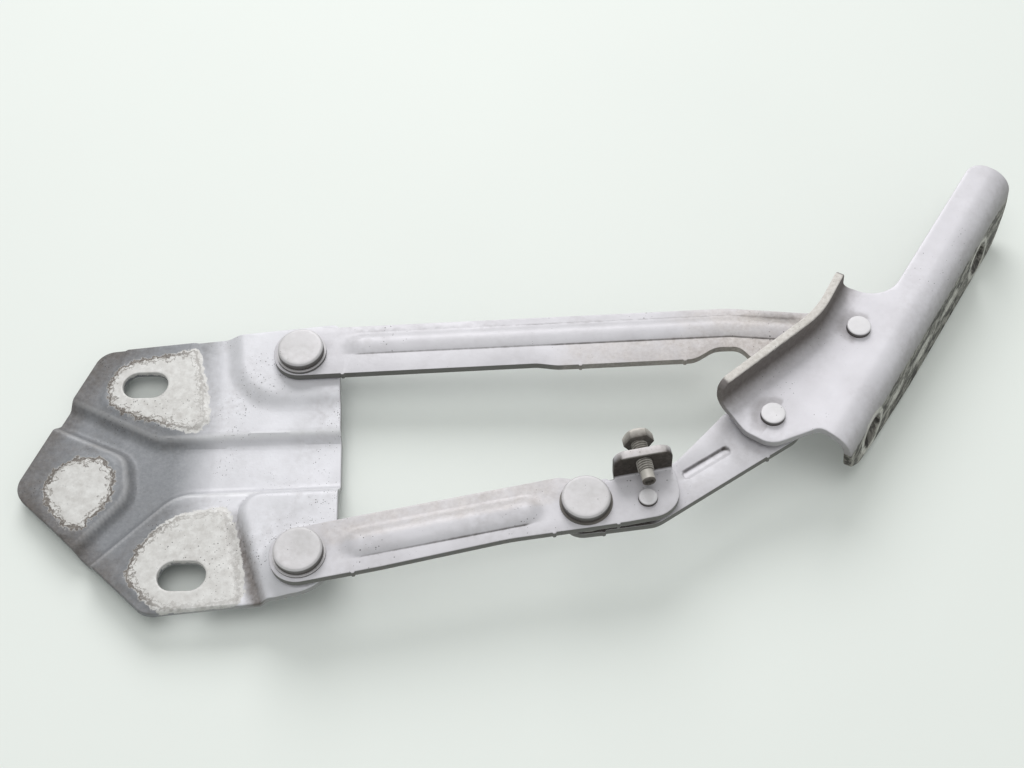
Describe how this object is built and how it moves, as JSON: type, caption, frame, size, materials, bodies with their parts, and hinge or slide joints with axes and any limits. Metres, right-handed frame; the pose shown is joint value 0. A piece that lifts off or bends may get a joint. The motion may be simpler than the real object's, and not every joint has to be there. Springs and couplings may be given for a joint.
{
  "type": "bonnet hinge",
  "caption": "Pressed-steel bonnet hinge: folding linkage between a body bracket with slotted pads and a flanged bonnet bracket, with an adjustable stop bolt.",
  "frame": {"origin": "centre of the upper body slot on the plane of the contact pads", "axes": "+X along the links towards the bonnet bracket, +Y across the links, +Z out of the body bracket's contact face"},
  "size_m": [0.3997, 0.1954, 0.0438],
  "materials": {
    "paint": "semi-gloss",
    "rivet": "satin",
    "bolt": "zinc plated",
    "bush": "dull",
    "washer": "dull"
  },
  "bodies": {
    "body_bracket": {"body_bracket": "paint", "upper_body_rivet": "rivet", "lower_body_rivet": "rivet", "upper_body_washer": "washer", "lower_body_washer": "washer"},
    "upper_link": {"upper_link": "paint", "upper_body_bush": "bush"},
    "lower_link": {"lower_link": "paint", "relay_link": "paint", "knee_rivet": "rivet", "knee_bush": "bush", "knee_washer": "washer", "shear_rivet": "rivet", "lower_body_bush": "bush", "lower_bonnet_bush": "bush"},
    "bonnet_bracket": {"bonnet_bracket": "paint", "upper_bonnet_rivet": "rivet", "lower_bonnet_rivet": "rivet", "upper_bonnet_bush": "bush", "upper_bonnet_washer": "washer", "lower_bonnet_washer": "washer"},
    "stop_bolt": {"stop_bolt": "bolt"}
  },
  "joints": [
    {"name": "lower_link_fold", "type": "hinge", "parent": "body_bracket", "child": "lower_link", "pos_m": [0.07, -0.083, 0], "axis": [0, 0, -1], "range_deg": [0, 75]},
    {"name": "upper_link_fold", "type": "hinge", "parent": "body_bracket", "child": "upper_link", "pos_m": [0.063, 0.009, 0], "axis": [0, 0, -1], "range_deg": [0, 62.5]},
    {"name": "bonnet_bracket_fold", "type": "hinge", "parent": "lower_link", "child": "bonnet_bracket", "pos_m": [0.2445, -0.0285, 0], "axis": [0, 0, 1], "range_deg": [0, 119.5]},
    {"name": "stop_bolt_turn", "type": "slide", "parent": "lower_link", "child": "stop_bolt", "axis": [0.1806, -0.9836, 0], "range_m": [0, 0.0044]}
  ],
  "couplings": [
    {"joint": "upper_link_fold", "follows": "lower_link_fold", "ratio": 0.8293},
    {"joint": "bonnet_bracket_fold", "follows": "lower_link_fold", "ratio": 1.5907}
  ]
}
